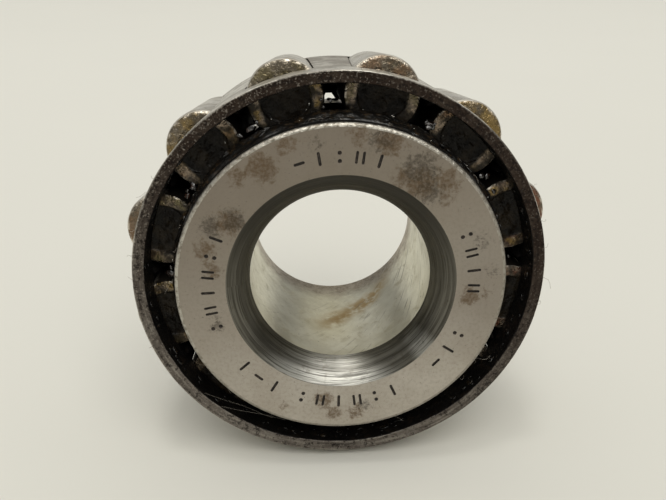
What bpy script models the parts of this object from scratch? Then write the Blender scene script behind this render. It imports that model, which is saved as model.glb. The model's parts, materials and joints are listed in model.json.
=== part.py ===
"""Tapered roller bearing cone assembly: inner ring, pressed steel cage and twelve tapered rollers.

Metres, +Z up. The bearing's axis is +Y, and the origin is the centre of the back face, which is the
face at the rollers' large ends and looks towards -Y. The rollers' axes and the bearing's axis meet
at one point, the apex, on the +Y side. There is no outer ring: this is the half that goes on a shaft.
"""

import math

import bpy

MM = 0.001

# Driving dimensions.
BORE_DIAMETER = 19.05 * MM
RING_WIDTH = 21.54 * MM
ROLLER_COUNT = 12
ROLLER_TILT = math.radians(7.2)
ROLLER_LENGTH = 13.4 * MM
ROLLER_LARGE_DIAMETER = 8.0 * MM
LARGE_END_PITCH_RADIUS = 19.1 * MM
LARGE_END_DEPTH = 5.64 * MM
FIRST_ROLLER_ANGLE = math.radians(16.6)
RACEWAY_CLEARANCE = 0.1 * MM
RIB_CLEARANCE = 0.12 * MM
POCKET_SIDE_CLEARANCE = 0.16 * MM
POCKET_END_CLEARANCE = 0.2 * MM
POCKET_CORNER = 0.6 * MM
POCKET_CORNER_STEPS = 3

# Inner ring.
BACK_FACE_RADIUS = 17.14 * MM
FACE_CHAMFER = 0.45 * MM
BORE_ENTRY_RADIUS = 11.91 * MM
BORE_ENTRY_DEPTH = 2.62 * MM
BORE_ENTRY_BEND = math.radians(50)
BORE_ENTRY_STEPS = 5
BORE_EXIT_CHAMFER = 0.6 * MM
SMALL_RIB_RADIUS = 14.7 * MM
SMALL_RIB_START = 18.98 * MM
SMALL_RIB_CHAMFER = 0.4 * MM
UNDERCUT_WIDTH = 0.7 * MM
UNDERCUT_DEPTH = 0.25 * MM

# Cage, drawn along its outer surface.
SHEET_THICKNESS = 1.27 * MM
CAGE_RIM_RADIUS = 21.76 * MM
CAGE_RIM_DEPTH = 2.36 * MM
CAGE_TAPER = math.radians(5.7)
CAGE_END_DEPTH = 21.5 * MM
CAGE_BEND_RADIUS = 1.9 * MM
CAGE_BEND_STEPS = 4
FLANGE_INNER_RADIUS = 15.6 * MM

# Rollers.
ROLLER_CORNER = 0.45 * MM
ROLLER_CORNER_STEPS = 2
END_RECESS_RADIUS = 2.7 * MM
END_RECESS_DEPTH = 0.4 * MM
END_RECESS_SLOPE = 0.35 * MM

# Facets around each turned shape.
RING_STEPS = 96
ROLLER_STEPS = 24
CUTTER_STEPS = 24

MERGE_DISTANCE = 0.00001

APEX_DISTANCE = LARGE_END_PITCH_RADIUS / math.sin(ROLLER_TILT)
ROLLER_HALF_ANGLE = math.atan(ROLLER_LARGE_DIAMETER / 2 / APEX_DISTANCE)
RACEWAY_ANGLE = ROLLER_TILT - ROLLER_HALF_ANGLE
APEX_DEPTH = LARGE_END_DEPTH + APEX_DISTANCE * math.cos(ROLLER_TILT)


def clear_scene():
    """Removes what the scene starts with."""
    for obj in list(bpy.data.objects):
        bpy.data.objects.remove(obj, do_unlink=True)


def new_collection(name):
    """A collection of its own, linked to the scene."""
    collection = bpy.data.collections.new(name)
    bpy.context.scene.collection.children.link(collection)
    return collection


def metal(name, colour, roughness):
    """A bare metal finish."""
    material = bpy.data.materials.new(name)
    material.use_nodes = True
    shader = material.node_tree.nodes["Principled BSDF"]
    shader.inputs["Base Color"].default_value = (*colour, 1.0)
    shader.inputs["Metallic"].default_value = 1.0
    shader.inputs["Roughness"].default_value = roughness
    return material


def profile_mesh(name, points, closed):
    """A mesh of edges through (radius, depth) points, in the plane that a Screw turns about Z."""
    mesh = bpy.data.meshes.new(name)
    vertices = [(radius, 0.0, depth) for radius, depth in points]
    edges = [(i, i + 1) for i in range(len(points) - 1)]
    if closed:
        edges.append((len(points) - 1, 0))
    mesh.from_pydata(vertices, edges, [])
    return mesh


def add_screw(obj, steps):
    """Turns the profile once around its local Z."""
    screw = obj.modifiers.new("turn", "SCREW")
    screw.axis = "Z"
    screw.angle = 2 * math.pi
    screw.steps = steps
    screw.render_steps = steps
    screw.use_merge_vertices = True
    screw.merge_threshold = MERGE_DISTANCE
    screw.use_smooth_shade = True


def place(obj, collection, axis, material):
    """Links an object, hangs it on the bearing's axis and gives it its material."""
    collection.objects.link(obj)
    obj.parent = axis
    obj.data.materials.append(material)


def arc(centre, radius, start, end, steps):
    """Points on an arc, from the start angle to the end angle."""
    points = []
    for i in range(steps + 1):
        angle = start + (end - start) * i / steps
        points.append((centre[0] + radius * math.cos(angle), centre[1] + radius * math.sin(angle)))
    return points


def raceway_radius(depth):
    """The raceway's radius at a depth: a cone through the apex, moved in by the clearance."""
    return (APEX_DEPTH - depth) * math.tan(RACEWAY_ANGLE) - RACEWAY_CLEARANCE / math.cos(RACEWAY_ANGLE)


def large_end_plane_depth(radius):
    """The depth of the rollers' large end plane at a radius from the bearing's axis."""
    return LARGE_END_DEPTH + (radius - LARGE_END_PITCH_RADIUS) * math.tan(ROLLER_TILT)


def bore_entry_points():
    """The turned lead-in of the bore: a convex arc that meets both the back face and the bore at an edge."""
    radial = BORE_ENTRY_RADIUS - BORE_DIAMETER / 2
    chord = math.hypot(radial, BORE_ENTRY_DEPTH)
    chord_angle = math.atan2(BORE_ENTRY_DEPTH, -radial)
    arc_radius = chord / 2 / math.sin(BORE_ENTRY_BEND / 2)
    middle = chord_angle - math.pi - math.pi / 2
    to_centre = arc_radius * math.cos(BORE_ENTRY_BEND / 2)
    centre = (
        (BORE_ENTRY_RADIUS + BORE_DIAMETER / 2) / 2 - to_centre * math.cos(middle),
        BORE_ENTRY_DEPTH / 2 - to_centre * math.sin(middle),
    )
    half_bend = BORE_ENTRY_BEND / 2
    return arc(centre, arc_radius, middle + half_bend, middle - half_bend, BORE_ENTRY_STEPS)


def ring_profile():
    """The inner ring's section: down the outside from the front face, then up the bore."""
    bore = BORE_DIAMETER / 2
    rib_gap = RIB_CLEARANCE / math.cos(ROLLER_TILT)
    rib_top_depth = large_end_plane_depth(BACK_FACE_RADIUS) - rib_gap
    rib_root_radius = raceway_radius(LARGE_END_DEPTH) - UNDERCUT_DEPTH
    rib_root_depth = large_end_plane_depth(rib_root_radius) - rib_gap
    undercut_end = rib_root_depth + UNDERCUT_WIDTH
    outside = [
        (SMALL_RIB_RADIUS - SMALL_RIB_CHAMFER, RING_WIDTH),
        (SMALL_RIB_RADIUS, RING_WIDTH - SMALL_RIB_CHAMFER),
        (SMALL_RIB_RADIUS, SMALL_RIB_START),
        (raceway_radius(SMALL_RIB_START), SMALL_RIB_START),
        (raceway_radius(undercut_end), undercut_end),
        (rib_root_radius, undercut_end - UNDERCUT_DEPTH),
        (rib_root_radius, rib_root_depth),
        (BACK_FACE_RADIUS - FACE_CHAMFER, rib_top_depth),
        (BACK_FACE_RADIUS, rib_top_depth - FACE_CHAMFER),
        (BACK_FACE_RADIUS, FACE_CHAMFER),
        (BACK_FACE_RADIUS - FACE_CHAMFER, 0.0),
    ]
    bore_end = [
        (bore, RING_WIDTH - BORE_EXIT_CHAMFER),
        (bore + BORE_EXIT_CHAMFER, RING_WIDTH),
    ]
    return outside + bore_entry_points() + bore_end


def cage_profile():
    """The cage's outer surface: rim edge, cone, bend and the flange turned in at the small end."""
    cone_slope = math.tan(CAGE_TAPER)
    bend_depth = CAGE_END_DEPTH - CAGE_BEND_RADIUS
    edge_radius = CAGE_RIM_RADIUS - (bend_depth - CAGE_RIM_DEPTH) * cone_slope
    centre = (edge_radius - CAGE_BEND_RADIUS / math.cos(CAGE_TAPER), bend_depth)
    bend = arc(centre, CAGE_BEND_RADIUS, math.pi / 2, CAGE_TAPER, CAGE_BEND_STEPS)
    return [(FLANGE_INNER_RADIUS, CAGE_END_DEPTH)] + bend + [(CAGE_RIM_RADIUS, CAGE_RIM_DEPTH)]


def roller_radius(distance):
    """A roller's radius at a distance from its large end, towards the apex."""
    return (APEX_DISTANCE - distance) * math.tan(ROLLER_HALF_ANGLE)


def roller_profile():
    """A roller's section from the small end's centre down to the recessed large end's centre."""
    half = ROLLER_LENGTH / 2
    small = roller_radius(ROLLER_LENGTH)
    large = roller_radius(0.0)
    top = arc(
        (small - ROLLER_CORNER, half - ROLLER_CORNER), ROLLER_CORNER, math.pi / 2, 0.0, ROLLER_CORNER_STEPS
    )
    bottom = arc(
        (large - ROLLER_CORNER, ROLLER_CORNER - half), ROLLER_CORNER, 0.0, -math.pi / 2, ROLLER_CORNER_STEPS
    )
    recess = [
        (END_RECESS_RADIUS, -half),
        (END_RECESS_RADIUS - END_RECESS_SLOPE, END_RECESS_DEPTH - half),
        (0.0, END_RECESS_DEPTH - half),
    ]
    return [(0.0, half)] + top + bottom + recess


def pocket_profile():
    """The section of the tapered plug that cuts one pocket: a roller with its clearances added."""
    half = ROLLER_LENGTH / 2 + POCKET_END_CLEARANCE
    facet_allowance = 1 / math.cos(math.pi / CUTTER_STEPS)
    small = (roller_radius(ROLLER_LENGTH) + POCKET_SIDE_CLEARANCE) * facet_allowance
    large = (roller_radius(0.0) + POCKET_SIDE_CLEARANCE) * facet_allowance
    inset = POCKET_CORNER
    top = arc((small - inset, half - inset), inset, math.pi / 2, 0.0, POCKET_CORNER_STEPS)
    bottom = arc((large - inset, inset - half), inset, 0.0, -math.pi / 2, POCKET_CORNER_STEPS)
    return [(0.0, half)] + top + bottom + [(0.0, -half)]


def set_on_pitch_cone(obj, index):
    """Puts an object's origin at a roller's middle, with its Z along that roller's axis."""
    distance = APEX_DISTANCE - ROLLER_LENGTH / 2
    angle = -FIRST_ROLLER_ANGLE - 2 * math.pi * index / ROLLER_COUNT
    radius = distance * math.sin(ROLLER_TILT)
    depth = APEX_DEPTH - distance * math.cos(ROLLER_TILT)
    obj.location = (radius * math.cos(angle), radius * math.sin(angle), depth)
    obj.rotation_euler = (0.0, -ROLLER_TILT, angle)


def make_axis(collection):
    """The bearing's axis: an empty whose local Z is the bearing's +Y."""
    axis = bpy.data.objects.new("bearing_axis", None)
    axis.rotation_euler = (-math.pi / 2, 0.0, 0.0)
    collection.objects.link(axis)
    return axis


def make_inner_ring(collection, axis):
    """The inner ring, which the shaft carries."""
    ring = bpy.data.objects.new("inner_ring", profile_mesh("inner_ring", ring_profile(), True))
    place(ring, collection, axis, metal("ground_steel", (0.42, 0.39, 0.36), 0.38))
    add_screw(ring, RING_STEPS)


def make_pocket_cutters(collection, axis):
    """Twelve tapered plugs, one for each of the cage's pockets."""
    mesh = profile_mesh("pocket_cutter", pocket_profile(), False)
    for index in range(ROLLER_COUNT):
        cutter = bpy.data.objects.new(f"pocket_cutter_{index + 1:02d}", mesh)
        collection.objects.link(cutter)
        cutter.parent = axis
        set_on_pitch_cone(cutter, index)
        add_screw(cutter, CUTTER_STEPS)
        cutter.hide_render = True
        cutter.display_type = "WIRE"


def make_cage(collection, cutters, axis):
    """The pressed cage: a sheet cone with an inward flange and twelve punched pockets."""
    cage = bpy.data.objects.new("cage", profile_mesh("cage", cage_profile(), False))
    place(cage, collection, axis, metal("pressed_steel", (0.34, 0.31, 0.30), 0.45))
    add_screw(cage, RING_STEPS)
    sheet = cage.modifiers.new("sheet", "SOLIDIFY")
    sheet.thickness = SHEET_THICKNESS
    sheet.offset = -1.0
    sheet.use_even_offset = True
    pockets = cage.modifiers.new("pockets", "BOOLEAN")
    pockets.operation = "DIFFERENCE"
    pockets.solver = "EXACT"
    pockets.operand_type = "COLLECTION"
    pockets.collection = cutters


def make_rollers(collection, axis):
    """Twelve tapered rollers that share one mesh, each turning on its own origin."""
    mesh = profile_mesh("roller", roller_profile(), False)
    mesh.materials.append(metal("hardened_steel", (0.40, 0.35, 0.29), 0.3))
    for index in range(ROLLER_COUNT):
        roller = bpy.data.objects.new(f"roller_{index + 1:02d}", mesh)
        collection.objects.link(roller)
        roller.parent = axis
        set_on_pitch_cone(roller, index)
        add_screw(roller, ROLLER_STEPS)


def main():
    clear_scene()
    parts = new_collection("tapered_roller_bearing")
    cutters = new_collection("cutters")
    axis = make_axis(parts)
    make_inner_ring(parts, axis)
    make_pocket_cutters(cutters, axis)
    make_cage(parts, cutters, axis)
    make_rollers(parts, axis)


main()
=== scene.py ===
"""The looks of the tapered roller bearing: fine meshes, worn steels, stains, grease and lint.

Lengths are in millimetres in the frame of the CAD: the bearing's axis is +Y, the back face with the
rollers' large ends is at Y = 0 and looks towards -Y, and +Z is up. Meshes are made in metres.
"""

import json
import math
import random

import bmesh
import bpy
from mathutils import Matrix, Vector, noise


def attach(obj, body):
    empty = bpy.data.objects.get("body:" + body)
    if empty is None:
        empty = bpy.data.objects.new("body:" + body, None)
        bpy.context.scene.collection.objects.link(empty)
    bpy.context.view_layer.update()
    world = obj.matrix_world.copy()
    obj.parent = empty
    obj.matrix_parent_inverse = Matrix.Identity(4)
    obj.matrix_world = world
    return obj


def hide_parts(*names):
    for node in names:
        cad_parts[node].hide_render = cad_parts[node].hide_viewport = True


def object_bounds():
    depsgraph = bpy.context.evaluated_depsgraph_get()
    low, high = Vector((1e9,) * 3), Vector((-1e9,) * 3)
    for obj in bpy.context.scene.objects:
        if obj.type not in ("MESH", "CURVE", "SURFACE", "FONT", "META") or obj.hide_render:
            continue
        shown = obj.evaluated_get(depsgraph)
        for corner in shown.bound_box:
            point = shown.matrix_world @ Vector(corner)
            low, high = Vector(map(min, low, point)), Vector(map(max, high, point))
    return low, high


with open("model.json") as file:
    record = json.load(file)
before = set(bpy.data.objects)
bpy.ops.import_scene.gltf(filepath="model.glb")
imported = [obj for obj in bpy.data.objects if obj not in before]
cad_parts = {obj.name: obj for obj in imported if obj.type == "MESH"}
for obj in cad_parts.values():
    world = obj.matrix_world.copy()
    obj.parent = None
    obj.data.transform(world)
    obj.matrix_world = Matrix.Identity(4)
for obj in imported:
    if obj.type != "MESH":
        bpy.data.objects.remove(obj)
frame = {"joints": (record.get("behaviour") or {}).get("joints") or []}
CAD_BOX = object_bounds()

MM = 0.001

# The rollers and their common apex, as in the CAD.
ROLLER_COUNT = 12
ROLLER_TILT = math.radians(7.2)
ROLLER_LENGTH = 13.4
ROLLER_LARGE_RADIUS = 4.0
LARGE_END_PITCH_RADIUS = 19.1
LARGE_END_DEPTH = 5.64
FIRST_ROLLER_ANGLE = math.radians(16.6)
APEX_DISTANCE = LARGE_END_PITCH_RADIUS / math.sin(ROLLER_TILT)
ROLLER_HALF_ANGLE = math.atan(ROLLER_LARGE_RADIUS / APEX_DISTANCE)
APEX_DEPTH = LARGE_END_DEPTH + APEX_DISTANCE * math.cos(ROLLER_TILT)
ROLLER_NAMES = [f"roller_{i + 1:02d}" for i in range(ROLLER_COUNT)]
RECESS_RADIUS = 2.7
RECESS_DEPTH = 0.4
RECESS_SLOPE = 0.35
ROLLER_CORNER = 0.45

# The inner ring, as in the CAD.
BORE_RADIUS = 19.05 / 2
RING_WIDTH = 21.54
BACK_FACE_RADIUS = 17.14
BORE_ENTRY_RADIUS = 11.91
BORE_ENTRY_DEPTH = 2.62
BORE_ENTRY_BEND = math.radians(50)
BORE_EXIT_CHAMFER = 0.6
FACE_CHAMFER = 0.45
SMALL_RIB_RADIUS = 14.7
SMALL_RIB_START = 18.98
RACEWAY_CLEARANCE = 0.1
RIB_CLEARANCE = 0.12
RACEWAY_ANGLE = ROLLER_TILT - ROLLER_HALF_ANGLE

# The cage, as in the CAD.
SHEET = 1.27
CAGE_RIM_RADIUS = 21.76
CAGE_RIM_DEPTH = 2.36
CAGE_TAPER = math.radians(5.7)
CAGE_END_DEPTH = 21.5
CAGE_BEND_RADIUS = 1.9
FLANGE_INNER_RADIUS = 15.6
POCKET_SIDE_CLEARANCE = 0.16
POCKET_END_CLEARANCE = 0.2
POCKET_CORNER = 0.8

# How finely the cage is divided round a pocket: along its sides, corners, ends, and outwards.
SIDE_STEPS = 14
CORNER_STEPS = 5
END_STEPS = 5
BORDER_STEPS = 3

# The view.
CAMERA_AZIMUTH = math.radians(-2.97)
CAMERA_ELEVATION = math.radians(22.2)
CAMERA_PLACE = (-5.30, -84.7, 38.6)
CAMERA_LENS = 48.9

# The sky: from this height to that, from this strength to that.
SKY_RAMP = (0.1, 0.8, 0.14, 0.76)

# The pale strip where the sky meets the floor, in the same terms.
HORIZON_STRIP = (0.07, 0.11, 0.70, 0.0)

SEED = 7
FULL_TURN = 2 * math.pi
RING_SEGMENTS = 288
ROLLER_SEGMENTS = 96
SHARP_DEGREES = 32
MARK_DEPTH = 0.16
MARK_RADIUS = 13.75
MARK_PITCH_DEGREES = 8.4
# The strokes of each kind of mark: (along, across, length, width, turn).
STROKES = {
    "tick": [(0.0, 0.0, 1.15, 0.3, 0.0)],
    "dash": [(0.0, 0.0, 0.85, 0.3, math.pi / 2)],
    "dots": [(0.42, 0.0, 0.02, 0.42, 0.0), (-0.42, 0.0, 0.02, 0.42, 0.0)],
    "pair": [(0.0, 0.34, 1.05, 0.27, 0.0), (0.0, -0.34, 1.05, 0.27, 0.0)],
}


# Meshes.


def new_object(name, mesh):
    """An object for a mesh, linked to the scene."""
    obj = bpy.data.objects.new(name, mesh)
    bpy.context.scene.collection.objects.link(obj)
    return obj


def finish_mesh(bm, name, sharp_degrees=SHARP_DEGREES):
    """A smooth shaded mesh, with its normals out and its sharp edges kept, from a bmesh in millimetres."""
    bmesh.ops.recalc_face_normals(bm, faces=bm.faces)
    bmesh.ops.scale(bm, vec=(MM, MM, MM), verts=bm.verts)
    mesh = bpy.data.meshes.new(name)
    bm.to_mesh(mesh)
    bm.free()
    mesh.shade_smooth()
    mesh.set_sharp_from_angle(angle=math.radians(sharp_degrees))
    return mesh


def add_piece(name, bm, materials, body):
    """A piece of grease made from a bmesh, which rides on a body."""
    piece = new_object(name, finish_mesh(bm, name, 60))
    for material in materials:
        piece.data.materials.append(material)
    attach(piece, body)
    return piece


def strip(bm, a, b, closed=True):
    """Faces between two rows of vertices."""
    for i in range(len(a) if closed else len(a) - 1):
        j = (i + 1) % len(a)
        bm.faces.new((a[i], b[i], b[j], a[j]))


def around_axis(radius, depth, angle):
    return Vector((radius * math.cos(angle), depth, radius * math.sin(angle)))


def arc(centre, radius, start, end, steps):
    """Points on an arc, from the start angle to the end angle."""
    points = []
    for i in range(steps + 1):
        angle = start + (end - start) * i / steps
        points.append((centre[0] + radius * math.cos(angle), centre[1] + radius * math.sin(angle)))
    return points


def rounded_corner(before, corner, after, radius, steps):
    """The corner of an outline, replaced by an arc that touches both of its sides."""
    corner = Vector(corner)
    to_before = (Vector(before) - corner).normalized()
    to_after = (Vector(after) - corner).normalized()
    half = to_before.angle(to_after) / 2
    setback = radius / math.tan(half)
    middle = (to_before + to_after).normalized() * (radius / math.sin(half)) + corner
    start = corner + to_before * setback - middle
    end = corner + to_after * setback - middle
    sweep = start.angle_signed(end)
    first = math.atan2(start.y, start.x)
    return arc(middle, radius, first, first - sweep, steps)


def rounded_section(corners, steps=6):
    """Section points (radius, depth, finish) from corners (radius, depth, rounding, finish)."""
    section = []
    for i, (radius, depth, rounding, finish) in enumerate(corners):
        points = [(radius, depth)]
        if rounding > 0 and 0 < i < len(corners) - 1:
            points = rounded_corner(corners[i - 1][:2], (radius, depth), corners[i + 1][:2], rounding, steps)
        section += [(x, y, finish) for x, y in points]
    return section


def turned(name, section, segments, finishes, closed=True):
    """A section turned round +Y. A point on the axis becomes one vertex."""
    bm = bmesh.new()
    rows = []
    for radius, depth, _ in section:
        if radius < 1e-6:
            rows.append([bm.verts.new((0, depth, 0))] * segments)
        else:
            angles = (FULL_TURN * i / segments for i in range(segments))
            rows.append([bm.verts.new(around_axis(radius, depth, angle)) for angle in angles])
    spans = len(rows) if closed else len(rows) - 1
    for row in range(spans):
        a, b = rows[row], rows[(row + 1) % len(rows)]
        for i in range(segments):
            j = (i + 1) % segments
            corners = [a[i], a[j], b[j], b[i]]
            unique = [v for k, v in enumerate(corners) if v not in corners[:k]]
            if len(unique) > 2:
                bm.faces.new(unique).material_index = finishes.index(section[row][2])
    return finish_mesh(bm, name)


# Shader nodes.


def set_inputs(node, values):
    for key, value in values.items():
        node.inputs[key].default_value = value


class Value:
    """A number from a shader node. +, -, * and abs() add the nodes for them."""

    def __init__(self, finish, socket):
        self.finish = finish
        self.socket = socket

    def __add__(self, other):
        return self.finish.math("ADD", self, other)

    def __radd__(self, other):
        return self.finish.math("ADD", other, self)

    def __sub__(self, other):
        return self.finish.math("SUBTRACT", self, other)

    def __rsub__(self, other):
        return self.finish.math("SUBTRACT", other, self)

    def __mul__(self, other):
        return self.finish.math("MULTIPLY", self, other)

    def __abs__(self):
        return self.finish.math("ABSOLUTE", self)


class Finish:
    """One material and its nodes. Lengths are millimetres of the piece's own coordinates."""

    def __init__(self, name, metallic=1.0, coat=0.0, coat_roughness=0.1, specular=0.5):
        self.material = bpy.data.materials.new(name)
        self.material.use_nodes = True
        self.tree = self.material.node_tree
        self.shader = self.tree.nodes["Principled BSDF"]
        set_inputs(self.shader, {"Metallic": metallic, "Specular IOR Level": specular})
        set_inputs(self.shader, {"Coat Weight": coat, "Coat Roughness": coat_roughness})
        self.colour = None
        place = self.node("ShaderNodeTexCoord").outputs["Object"]
        scaled = self.node("ShaderNodeVectorMath", operation="SCALE")
        self.put(place, scaled.inputs[0])
        scaled.inputs["Scale"].default_value = 1 / MM
        self.mm = scaled.outputs[0]
        parts = self.node("ShaderNodeSeparateXYZ")
        self.put(self.mm, parts.inputs[0])
        self.x, self.depth, self.z = (Value(self, socket) for socket in parts.outputs)
        flat = self.math("POWER", self.x, 2) + self.math("POWER", self.z, 2)
        self.radius = self.math("SQRT", flat)
        self.turn = self.math("ARCTAN2", self.z, self.x)

    def node(self, kind, **settings):
        made = self.tree.nodes.new(kind)
        for key, value in settings.items():
            setattr(made, key, value)
        return made

    def put(self, value, socket):
        """A socket linked, or a plain number, colour or vector set."""
        value = getattr(value, "socket", value)
        if isinstance(value, bpy.types.NodeSocket):
            self.tree.links.new(value, socket)
        elif isinstance(value, tuple) and socket.type == "RGBA":
            socket.default_value = (*value, 1.0)
        else:
            socket.default_value = value

    def made(self, kind, values, **settings):
        """The first output of a new node whose first inputs take these values."""
        node = self.node(kind, **settings)
        for value, socket in zip(values, node.inputs):
            self.put(value, socket)
        return node.outputs[0]

    def math(self, operation, a, b=0.0):
        return Value(self, self.made("ShaderNodeMath", (a, b), operation=operation))

    def larger(self, a, b):
        return self.math("MAXIMUM", a, b)

    def vector(self, x, y, z):
        return self.made("ShaderNodeCombineXYZ", (x, y, z))

    def shifted(self, offset):
        """The piece's coordinates moved, so that two noises differ."""
        return self.made("ShaderNodeVectorMath", (self.mm, offset), operation="ADD")

    def noise(self, scale, detail=3.0, roughness=0.5, warp=0.0, at=None):
        node = self.node("ShaderNodeTexNoise")
        self.put(self.mm if at is None else at, node.inputs["Vector"])
        set_inputs(node, {"Scale": scale, "Detail": detail, "Roughness": roughness, "Distortion": warp})
        return Value(self, node.outputs["Fac"])

    def band(self, value, low, high, start=0.0, end=1.0):
        """A smooth step: start below low, end above high."""
        values = (value, low, high, start, end)
        return Value(self, self.made("ShaderNodeMapRange", values, interpolation_type="SMOOTHSTEP"))

    def mix(self, amount, a, b):
        node = self.node("ShaderNodeMix", data_type="RGBA")
        for value, socket in ((amount, node.inputs["Factor"]), (a, node.inputs[6]), (b, node.inputs[7])):
            self.put(value, socket)
        return node.outputs[2]

    def paint(self, amount, colour):
        """A layer of colour over the colour so far."""
        self.colour = self.mix(amount, self.colour, colour)

    def spots(self, places):
        """1 at each stain's middle, 0 past its size, on an end face.

        Each is (degrees from +X towards +Z, radius, size, strength), with its depth where that isn't 0."""
        total = 0.0
        for degrees, radius, size, strength, *depth in places:
            reach = self.node("ShaderNodeVectorMath", operation="DISTANCE")
            self.put(self.mm, reach.inputs[0])
            reach.inputs[1].default_value = around_axis(radius, sum(depth), math.radians(degrees))
            near = self.band(reach.outputs["Value"], size, 0.0, 0.0, strength)
            total = self.larger(total, near)
        return total

    def bump(self, height, distance, under=None):
        """A bump node over an earlier one, with its height in millimetres."""
        node = self.node("ShaderNodeBump")
        set_inputs(node, {"Strength": 1.0, "Distance": distance * MM})
        self.put(height, node.inputs["Height"])
        if under is not None:
            self.put(under, node.inputs["Normal"])
        return node.outputs[0]

    def done(self, roughness, normal=None):
        """The material, with the colour painted so far."""
        self.put(self.colour, self.shader.inputs["Base Color"])
        self.put(roughness, self.shader.inputs["Roughness"])
        if normal is not None:
            self.put(normal, self.shader.inputs["Normal"])
        return self.material


def ground_face():
    """The ground back face: warm satin steel with faint brown stains and dark grey specks."""
    f = Finish("ground_face")
    tone = f.noise(0.16, 4, 0.6)
    f.colour = f.mix(f.band(tone, 0.35, 0.65), (0.445, 0.405, 0.350), (0.515, 0.478, 0.422))
    # Painted shade: the steel is painted darker towards the upper left.
    film = f.z + f.x * -0.3
    film = film + (tone - 0.5) * 8.0
    f.paint(f.band(film, -17.0, 15.0, 0.0, 0.80), (0.205, 0.172, 0.138))
    # Painted shade: a broad darker area on the right of the face.
    painted_shade_right = f.spots([(-6, 16.0, 12.0, 1.0)]) * 0.5
    f.paint(painted_shade_right, (0.215, 0.185, 0.155))
    fine = f.noise(2.6, 5, 0.65)
    f.paint(f.band(fine, 0.42, 0.72, 0.0, 0.3), (0.23, 0.195, 0.16))
    brown_places = [
        (54, 13.4, 3.0, 1.0), (47, 15.2, 2.8, 0.8), (62, 13.0, 2.4, 0.75), (73, 16.0, 2.8, 0.95),
        (84, 16.2, 2.4, 0.7), (42, 14.0, 1.8, 0.7), (148, 13.4, 2.8, 0.85), (122, 15.0, 2.8, 0.95),
        (131, 15.7, 2.0, 0.75), (110, 16.0, 2.2, 0.7), (163, 14.4, 2.2, 0.8), (171, 13.3, 2.0, 0.7),
        (-98, 13.7, 1.9, 1.0), (-93, 15.2, 1.7, 0.9), (-84, 15.2, 1.7, 0.85), (-7, 13.5, 1.9, 1.0),
        (-5, 15.0, 1.6, 0.5), (-114, 15.6, 1.4, 0.5), (84, 13.6, 6.5, 0.75, RING_WIDTH),
        (-52, 12.2, 4.5, 0.80, RING_WIDTH),
    ]
    grey_places = [
        (58, 14.6, 3.6, 0.9), (50, 13.4, 3.0, 0.8), (146, 13.0, 2.4, 1.0), (153, 14.6, 2.4, 0.8),
        (76, 15.9, 2.6, 0.75), (100, 15.4, 2.2, 0.5), (18, 15.0, 2.6, 0.5), (-80, 14.6, 1.7, 0.7),
        (198, 13.6, 1.6, 0.6), (-165, 13.4, 1.6, 0.5), (4, 15.8, 1.8, 0.5),
        (108, 11.8, 5.0, 0.75, RING_WIDTH), (-150, 13.6, 4.0, 0.70, RING_WIDTH),
    ]
    ragged = f.noise(1.25, 6, 0.72, 0.25)
    brown = f.spots(brown_places) * 0.42 + ragged
    brown = f.band(brown, 0.60, 0.84)
    cloudy = f.noise(2.1, 6, 0.76, 0.25, at=f.shifted((31.0, 4.0, 9.0)))
    grey = f.spots(grey_places) * 0.42 + cloudy
    grey = f.band(grey, 0.63, 0.84)
    speckled = f.band(f.noise(3.4, 4, 0.7, at=f.shifted((9.0, 2.0, 1.0))), 0.36, 0.60, 0.45, 1.0)
    f.paint(brown * (speckled * 0.78), (0.150, 0.100, 0.056))
    f.paint(grey * (speckled * 0.66), (0.072, 0.060, 0.046))
    specks = f.band(f.noise(5.5, 2, 0.5, at=f.shifted((3.0, 17.0, 5.0))), 0.69, 0.76)
    f.paint(specks * 0.55, (0.07, 0.06, 0.05))
    dirt = f.larger(brown, grey)
    roughness = f.band(dirt, 0.0, 1.0, 0.5, 0.66) + fine * 0.06
    around = f.vector(f.radius * 9.0, f.turn * 5.0, 0.0)
    normal = f.bump(f.noise(1.0, 3, 0.6, at=around), 0.006)
    normal = f.bump(dirt, 0.008, under=normal)
    return f.done(roughness, normal)


def worn_edge_and_highlight():
    """Chamfers and corners with small nicks, painted brighter than the face, partly as wear and partly as a
    painted highlight.
    """
    f = Finish("worn_edge_and_highlight")
    nick = f.noise(1.7, 5, 0.7)
    f.colour = f.mix(f.band(nick, 0.42, 0.66), (0.52, 0.495, 0.44), (0.21, 0.185, 0.15))
    # Painted shade: the edges are darker towards the bottom and the right, and brightest at the top and
    # left, where the light catches them.
    upper = f.band(f.z - f.x * 0.5, -12.0, 14.0, 0.65, 0.0)
    f.paint(upper, (0.24, 0.215, 0.18))
    roughness = f.band(nick, 0.4, 0.7, 0.3, 0.46)
    return f.done(roughness, f.bump(f.noise(2.0, 4, 0.65, 0.5), 0.13))


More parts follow.
